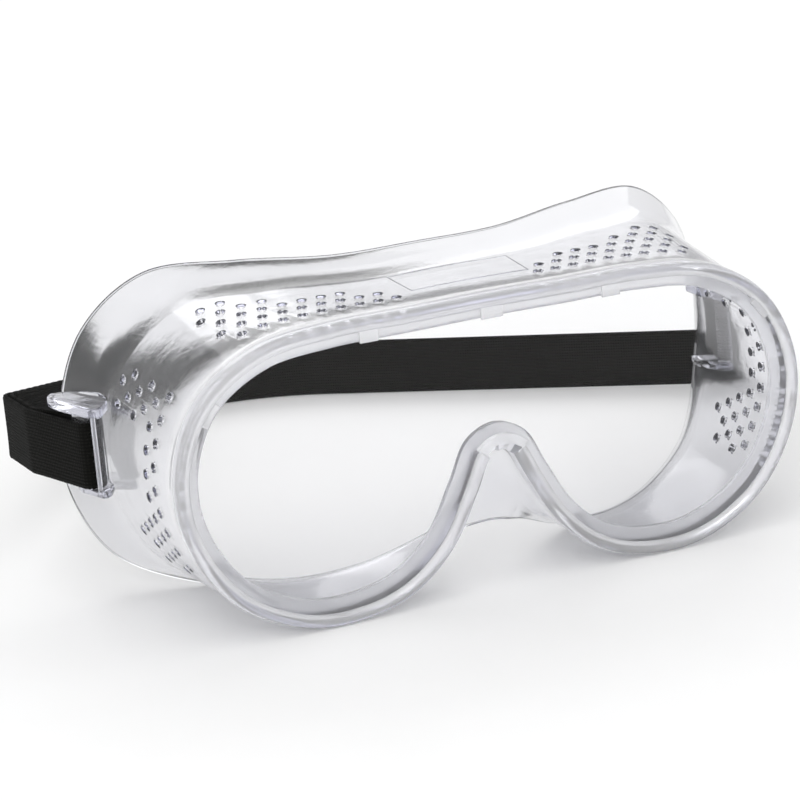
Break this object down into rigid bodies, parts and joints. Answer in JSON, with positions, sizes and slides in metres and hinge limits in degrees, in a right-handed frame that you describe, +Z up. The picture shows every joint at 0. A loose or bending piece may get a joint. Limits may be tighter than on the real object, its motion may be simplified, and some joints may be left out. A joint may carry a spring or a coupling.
{
  "type": "safety goggles",
  "caption": "Clear wrap-round safety goggles with a soft vented frame, a flat front lens, strap lugs and an adjustable elastic headband.",
  "frame": {"origin": "middle of the footprint, on the surface that the goggles stand on", "axes": "+X is the viewer's right when facing the lens, +Y runs back from the lens towards the wearer, +Z is up"},
  "size_m": [0.2088, 0.187, 0.0735],
  "materials": {
    "clear_pvc": "clear soft PVC, glossy, with faintly blue edges",
    "clear_polycarbonate": "clear polished polycarbonate sheet",
    "black_elastic": "ribbed woven elastic webbing",
    "black_plastic": "satin moulded plastic"
  },
  "bodies": {
    "goggle_frame": {"frame": "clear_pvc", "lens": "clear_polycarbonate", "headband_loop_left": "black_elastic", "headband_loop_right": "black_elastic"},
    "headband": {"headband": "black_elastic", "headband_tail": "black_elastic", "headband_sewn_end": "black_elastic"},
    "slide_adjuster": {"strap_slider": "black_plastic"}
  },
  "joints": [
    {"name": "headband_swing", "type": "hinge", "parent": "goggle_frame", "child": "headband", "pos_m": [-0.01624, -0.03596, 0.0362], "axis": [1, 0, 0], "range_deg": [0, 60]},
    {"name": "slider_travel", "type": "slide", "parent": "headband", "child": "slide_adjuster", "axis": [0.5038, 0.837, -0.2136], "range_m": [-0.05, 0.016]}
  ]
}
